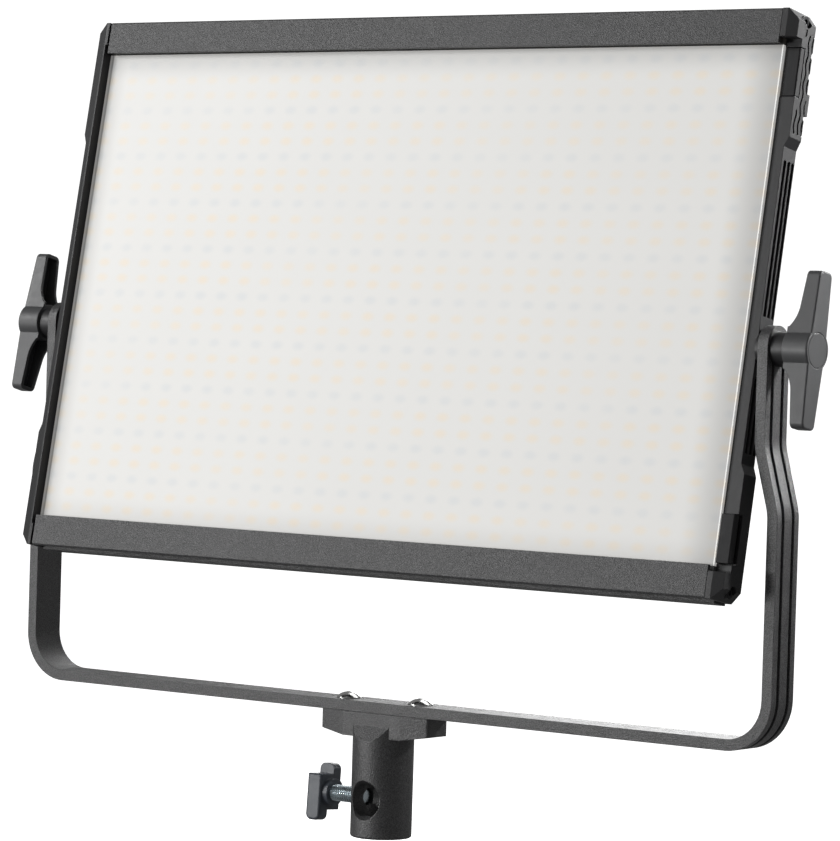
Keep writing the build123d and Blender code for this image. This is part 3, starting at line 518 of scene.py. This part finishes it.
def led_chips():
    """The whole grid of chips, all in one mesh."""
    bm = bmesh.new()
    for row in range(LED_ROWS):
        z = OPENING_MIDDLE + (row - (LED_ROWS - 1) / 2) * LED_PITCH_Z
        for column in range(LED_COLUMNS):
            led_chip(bm, (column - (LED_COLUMNS - 1) / 2) * LED_PITCH_X, z)
    bmesh.ops.recalc_face_normals(bm, faces=bm.faces)
    mesh_piece("led_chips", bm, chip_material(), "head")


socket_thread()
led_chips()


# ---- camera, stage and light --------------------------------------------------------------------
CAMERA_FROM_PIVOT = Vector((1.1791, -1.5490, 0.0162))
CAMERA_TURN = radians(36.90)
CAMERA_DOWN = radians(1.658)
CAMERA_ROLL = radians(1.715)
CAMERA_LENS = 175.1
FLOOR_Z = -0.35
FLOOR_RADIUS = 14.0


def camera():
    """The photo's camera, worked out from its straight edges and placed from the tilt axis."""
    level = cos(CAMERA_DOWN)
    forward = Vector((-sin(CAMERA_TURN) * level, cos(CAMERA_TURN) * level, -sin(CAMERA_DOWN)))
    level_right = Vector((cos(CAMERA_TURN), sin(CAMERA_TURN), 0))
    level_up = level_right.cross(forward)
    right = cos(CAMERA_ROLL) * level_right + sin(CAMERA_ROLL) * level_up
    up = cos(CAMERA_ROLL) * level_up - sin(CAMERA_ROLL) * level_right
    data = bpy.data.cameras.new("camera")
    data.lens = CAMERA_LENS
    data.sensor_width = 36.0
    data.sensor_fit = "HORIZONTAL"
    made = bpy.data.objects.new("camera", data)
    basis = Matrix((right, up, -forward)).transposed().to_4x4()
    made.matrix_world = Matrix.Translation(PIVOT + CAMERA_FROM_PIVOT) @ basis
    bpy.context.scene.collection.objects.link(made)
    bpy.context.scene.camera = made


def floor():
    """A wide pale floor well below the receiver, since the object is held by its spigot."""
    bm = bmesh.new()
    bmesh.ops.create_circle(bm, cap_ends=True, segments=96, radius=FLOOR_RADIUS)
    mesh = bpy.data.meshes.new("floor")
    bm.to_mesh(mesh)
    bm.free()
    ground = bpy.data.objects.new("floor", mesh)
    ground.location.z = FLOOR_Z
    bpy.context.scene.collection.objects.link(ground)
    s = Shader("pale_floor")
    base = s.mix(s.noise(3.0), (0.86, 0.86, 0.86, 1), (0.9, 0.9, 0.9, 1))
    s.link(base, s.bsdf.inputs["Base Color"])
    s.link(base, s.bsdf.inputs["Emission Color"])
    s.bsdf.inputs["Emission Strength"].default_value = 1.2
    s.bsdf.inputs["Roughness"].default_value = 0.9
    ground.visible_diffuse = False
    ground.visible_glossy = False
    mesh.materials.append(s.material)


def area(name, place, target, width, height, power, spread=180):
    """Rectangular light at a place, turned to a target: metres, watts and degrees."""
    data = bpy.data.lights.new(name, "AREA")
    data.shape = "RECTANGLE"
    data.size = width
    data.size_y = height
    data.energy = power
    data.spread = radians(spread)
    made = bpy.data.objects.new(name, data)
    made.location = place
    made.rotation_euler = (Vector(target) - Vector(place)).to_track_quat("-Z", "Y").to_euler()
    bpy.context.scene.collection.objects.link(made)


ROOM_LIGHT = 0.20           # what the object is lit and reflected by
BACKDROP_WHITE = 1.1        # what the camera sees behind it


def world():
    """Even white room, seen brighter than it lights."""
    made = bpy.data.worlds.new("studio")
    made.use_nodes = True
    tree = made.node_tree
    background = tree.nodes["Background"]
    seen = tree.nodes.new("ShaderNodeBackground")
    for shader, strength in ((background, ROOM_LIGHT), (seen, BACKDROP_WHITE)):
        shader.inputs["Color"].default_value = (1, 1, 1, 1)
        shader.inputs["Strength"].default_value = strength
    path = tree.nodes.new("ShaderNodeLightPath")
    mix = tree.nodes.new("ShaderNodeMixShader")
    tree.links.new(path.outputs["Is Camera Ray"], mix.inputs[0])
    tree.links.new(background.outputs[0], mix.inputs[1])
    tree.links.new(seen.outputs[0], mix.inputs[2])
    tree.links.new(mix.outputs[0], tree.nodes["World Output"].inputs[0])
    bpy.context.scene.world = made


camera()
floor()
world()
area("key_left", (-1.45, -1.15, 1.0), PIVOT, width=0.5, height=0.55, power=15)
area("front_low", (-1.3, -2.25, 0.22), (0.05, 0, 0.1), width=0.6, height=0.3, power=27)
area("front_soft", (0.3, -3.0, 1.9), PIVOT, width=1.6, height=1.0, power=4)
area("rim_right", (1.5, 1.5, 1.25), (0.28, 0, 0.43), width=0.25, height=0.3, power=1.3, spread=16)
area("top_back", (0.0, 1.4, 2.4), PIVOT, width=1.8, height=1.0, power=14)
area("back_fill", (-1.2, 2.8, 0.9), PIVOT, width=1.4, height=1.4, power=30)
bpy.context.scene.view_settings.view_transform = "Standard"
